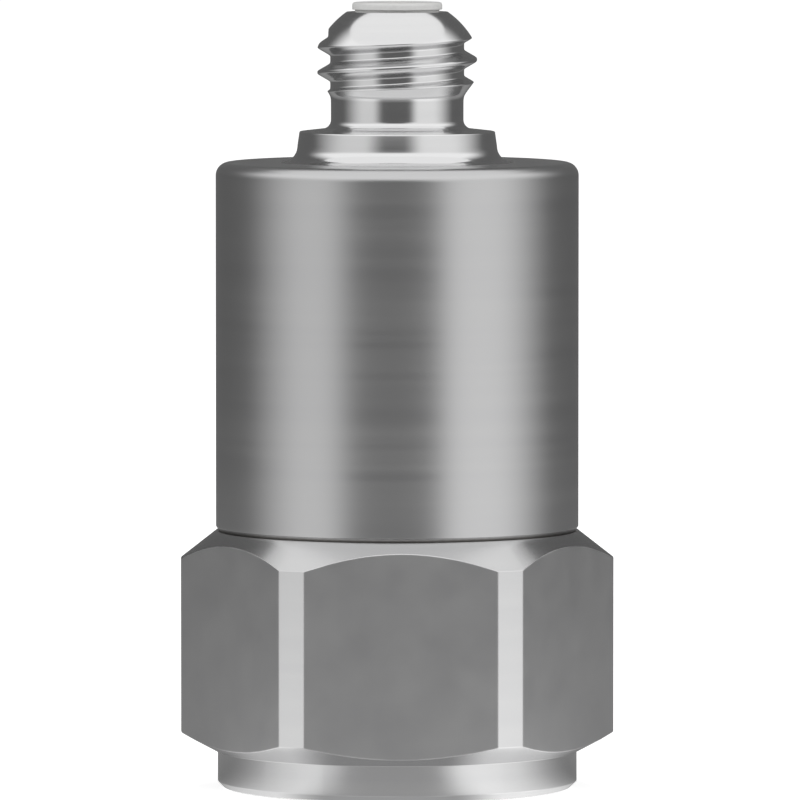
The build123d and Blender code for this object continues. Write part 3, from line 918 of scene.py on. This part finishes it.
def soft_solid(name, dark, light, roughness, grain, depth, plating=None, **shader):
    """A non-metal with a fine even grain: a mottled colour between two tones, a little variation of
    roughness and a shallow bump, all from one noise whose grains are the given size in millimetres.
    Where plating gives a mask and a colour, metal of that colour covers the masked part."""
    material, tree = new_material(name)
    place = add_node(tree, "ShaderNodeTexCoord").outputs["Object"]
    noise = add_node(tree, "ShaderNodeTexNoise", {
        "Vector": place,
        "Scale": 1000.0 / grain,
        "Detail": 4.0,
        "Roughness": 0.6,
    }).outputs["Fac"]
    color = mix_colors(tree, ramp(tree, noise, *narrow_noise), (*dark, 1), (*light, 1))
    grain_rough = [roughness * share for share in grain_rough_spread]
    rough = ramp(tree, noise, *narrow_noise, *grain_rough)
    bump = add_node(tree, "ShaderNodeBump", {"Strength": 1.0, "Distance": depth, "Height": noise})
    solid = add_node(tree, "ShaderNodeBsdfPrincipled", {
        "Base Color": color,
        "Roughness": rough,
        "Normal": bump.outputs[0],
    })
    if plating:
        mask = plating["mask"](tree, place)
        tree.links.new(mix_colors(tree, mask, color, (*plating["color"], 1)), solid.inputs["Base Color"])
        tree.links.new(mask, solid.inputs["Metallic"])
    for label, value in shader.items():
        solid.inputs[label.replace("_", " ")].default_value = value
    add_node(tree, "ShaderNodeOutputMaterial", {"Surface": solid.outputs[0]})
    return material


# Painted shade: the sleeve's colour is a light grey, darker than white fluoropolymer.
sleeve_mesh.materials.append(soft_solid(
    "fluoropolymer", (0.66, 0.66, 0.65), (0.71, 0.71, 0.7), roughness=0.42, grain=0.12, depth=6e-7))
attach(insulator_sleeve, "root")
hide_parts("connector_insulator")


# Centre contact: gold-plated copper alloy socket, split in four so that it grips the pin of the plug.
# It is pressed into the sleeve.
def dress(node, material):
    """Gives every material slot of a piece taken over from the frame the same finish."""
    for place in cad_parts[node].material_slots:
        place.material = material


dress("centre_contact", turned_metal(
    "gold_plate", (0.86, 0.62, 0.26), (0.93, 0.71, 0.34),
    roughness=0.2, lines=24.0, depth=2e-7, worn=(0.95, 0.76, 0.42)))


# Shear stack: three poled ceramic plates on the flats of the post, three sintered tungsten masses on them
# and a ring of copper alloy shrunk over all, which clamps the stack. The plates are silvered on two faces.
crystal_thickness = 0.6
silver_margin = 0.02
crystal_middle = post_inradius + crystal_thickness / 2
silver_start = crystal_thickness / 2 - silver_margin
outer_layer, layer_in, layer_out = new_group(
    "outer_layer", {"Place": 0.0, "Centre": 0.0, "Reach": 1.0}, ["Mask"])
layer_away = add_math(
    outer_layer, "ABSOLUTE",
    add_math(outer_layer, "SUBTRACT", layer_in.outputs["Place"], layer_in.outputs["Centre"]))
layer_mask = add_math(outer_layer, "GREATER_THAN", layer_away, layer_in.outputs["Reach"])
outer_layer.links.new(layer_mask, layer_out.inputs["Mask"])


def silvered_faces(tree, place):
    """One near the plates' inner and outer faces: the place's largest distance along the three flats'
    directions lies more than half the thickness, less a margin, from the plates' middle."""
    along = [
        add_node(tree, "ShaderNodeVectorMath", {
            0: place,
            1: (1000 * cos(turn), 1000 * sin(turn), 0),
        }, operation="DOT_PRODUCT").outputs["Value"]
        for turn in (post_first_flat + side * 2 * pi / post_sides for side in range(post_sides))
    ]
    outward = add_math(tree, "MAXIMUM", add_math(tree, "MAXIMUM", along[0], along[1]), along[2])
    return put_group(tree, outer_layer, Place=outward, Centre=crystal_middle, Reach=silver_start)["Mask"]


silvered_ceramic = soft_solid(
    "piezoceramic", (0.58, 0.53, 0.43), (0.67, 0.61, 0.51), roughness=0.4, grain=0.03, depth=8e-7,
    plating={"mask": silvered_faces, "color": (0.86, 0.86, 0.84)})
sintered_tungsten = turned_metal(
    "heavy_metal", (0.24, 0.24, 0.25), (0.33, 0.33, 0.34),
    roughness=0.45, lines=10.0, depth=6e-7, worn=(0.42, 0.42, 0.43))
for letter in "abc":
    dress("piezo_crystal_" + letter, silvered_ceramic)
    dress("seismic_mass_" + letter, sintered_tungsten)
dress("preload_ring", turned_metal(
    "ring_metal", (0.46, 0.45, 0.42), (0.54, 0.52, 0.48),
    roughness=0.28, lines=12.0, depth=4e-7, worn=(0.6, 0.58, 0.54)))


# Charge amplifier: a machined plastic cup screwed to the post carries a round laminate board with one
# amplifier chip, two chip resistors and a capacitor soldered to it by their tinned ends.
board_copper = (0.62, 0.4, 0.26)
tin = (0.72, 0.72, 0.7)
chip_centre = 2.3
chip_width = 2.0
resistor_centre = -2.4
resistor_cap_start = 0.3
capacitor_centre = -2.2
capacitor_cap_start = 0.5
track_scale = 900.0
track_crest = 0.93
body_depth = 5e-7


def tinned_ends(centre, reach):
    """A mask for metal further than reach from centre along X, both in millimetres."""
    def mask(tree, place):
        axes = add_node(tree, "ShaderNodeSeparateXYZ", {0: place}).outputs
        across = add_math(tree, "MULTIPLY", axes["X"], 1000.0)
        return put_group(tree, outer_layer, Place=across, Centre=centre, Reach=reach)["Mask"]
    return mask


def board_tracks(tree, place):
    """Copper tracks on the board: the crests of a bent wave, thin lines a third of a millimetre apart."""
    wave = add_node(tree, "ShaderNodeTexWave", {
        "Vector": place,
        "Scale": track_scale,
        "Distortion": 2.0,
        "Detail": 0.0,
    }).outputs["Fac"]
    return add_math(tree, "GREATER_THAN", wave, track_crest)


def with_caps(name, dark, light, roughness, grain, centre, reach):
    """A small soldered part whose body is a fine-grained solid and whose ends are tinned."""
    caps = {"mask": tinned_ends(centre, reach), "color": tin}
    return soft_solid(name, dark, light, roughness, grain, body_depth, plating=caps)


dress("board_carrier", soft_solid(
    "carrier_plastic", (0.6, 0.5, 0.35), (0.68, 0.57, 0.41), roughness=0.5, grain=0.1, depth=8e-7))
dress("carrier_screw", turned_metal(
    "screw_steel", (0.54, 0.54, 0.55), (0.62, 0.62, 0.63),
    roughness=0.28, lines=12.0, depth=4e-7, worn=(0.7, 0.7, 0.7)))
dress("circuit_board", soft_solid(
    "board_laminate", (0.03, 0.18, 0.09), (0.05, 0.25, 0.13), roughness=0.35, grain=0.3, depth=6e-7,
    plating={"mask": board_tracks, "color": board_copper}))
dress("amplifier_chip", with_caps(
    "chip_plastic", (0.03, 0.03, 0.033), (0.05, 0.05, 0.055),
    roughness=0.55, grain=0.04, centre=chip_centre, reach=chip_width / 2))
dress("chip_resistors", with_caps(
    "resistor_ceramic", (0.06, 0.06, 0.07), (0.1, 0.1, 0.11),
    roughness=0.35, grain=0.06, centre=resistor_centre, reach=resistor_cap_start))
dress("chip_capacitor", with_caps(
    "capacitor_ceramic", (0.5, 0.37, 0.23), (0.6, 0.46, 0.31),
    roughness=0.45, grain=0.04, centre=capacitor_centre, reach=capacitor_cap_start))


# Leads and seal: flat copper ribbons welded from the ring and the base to the board and from the board to
# the contact, which passes through a bead of sealing glass fused into the shell.
ribbon_copper = turned_metal(
    "lead_copper", (0.76, 0.47, 0.31), (0.84, 0.54, 0.37),
    roughness=0.25, lines=10.0, depth=3e-7, worn=(0.88, 0.6, 0.44))
for lead in ("signal_lead", "ground_lead", "output_lead"):
    dress(lead, ribbon_copper)
dress("glass_seal", soft_solid(
    "seal_glass", (0.12, 0.2, 0.19), (0.18, 0.28, 0.26),
    roughness=0.12, grain=0.2, depth=4e-7, Transmission_Weight=0.6))
